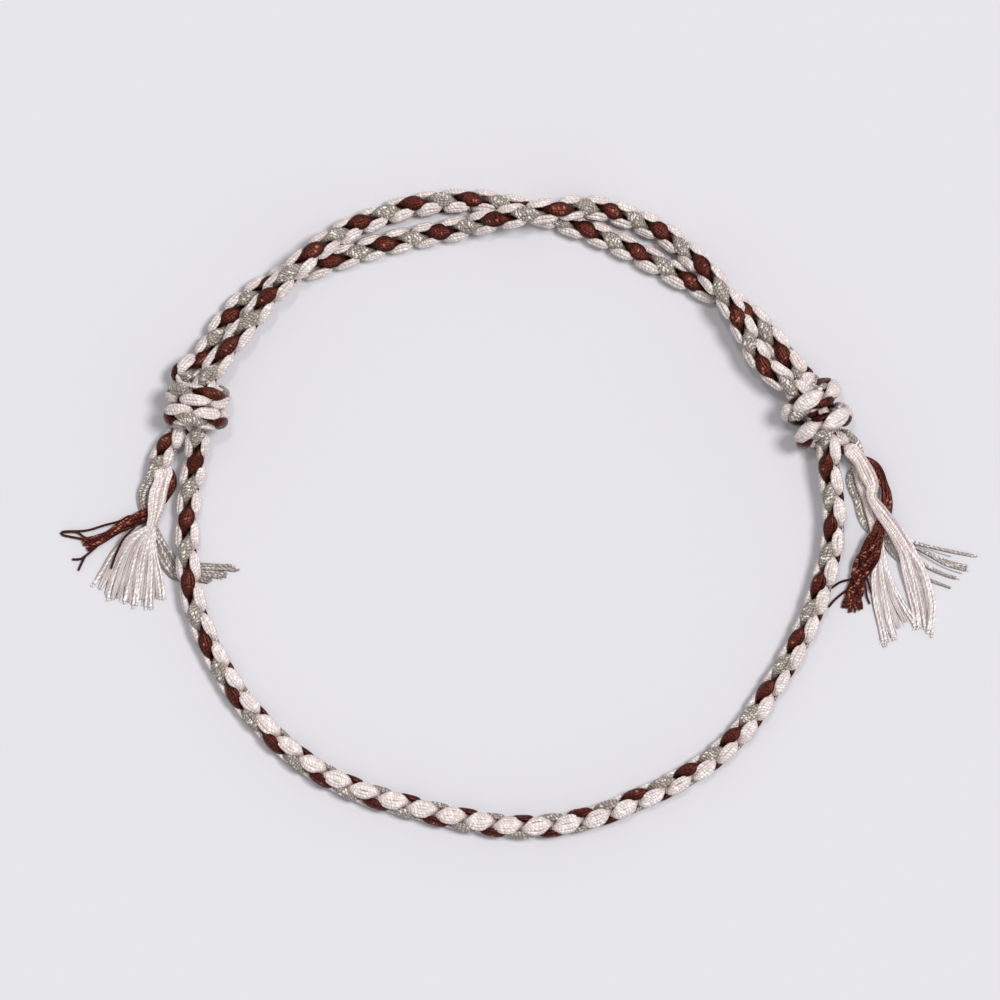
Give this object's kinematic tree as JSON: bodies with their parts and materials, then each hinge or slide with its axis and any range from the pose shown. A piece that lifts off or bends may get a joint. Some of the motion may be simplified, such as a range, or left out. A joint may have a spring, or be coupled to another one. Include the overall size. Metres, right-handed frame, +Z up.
{
  "type": "braided cord bracelet",
  "caption": "Loop of round braided cord, tied round itself with sliding knots, with loose ends that fray out into fans of threads.",
  "frame": {"origin": "middle of the overall outline, on the surface that the bracelet lies on", "axes": "+Z up from the surface, +X along the overall width from the left knot to the right knot, +Y towards the doubled run of cord"},
  "size_m": [0.0916, 0.0648, 0.0064],
  "materials": {
    "brown_floss": "silky twisted floss",
    "silver_floss": "glossy silvery floss with sparkles",
    "white_floss": "glossy pinkish-white floss with sparkles"
  },
  "bodies": {
    "root": {"strand_brown": "brown_floss", "strand_grey": "silver_floss", "strand_white_a": "white_floss", "strand_white_b": "white_floss"}
  },
  "joints": []
}
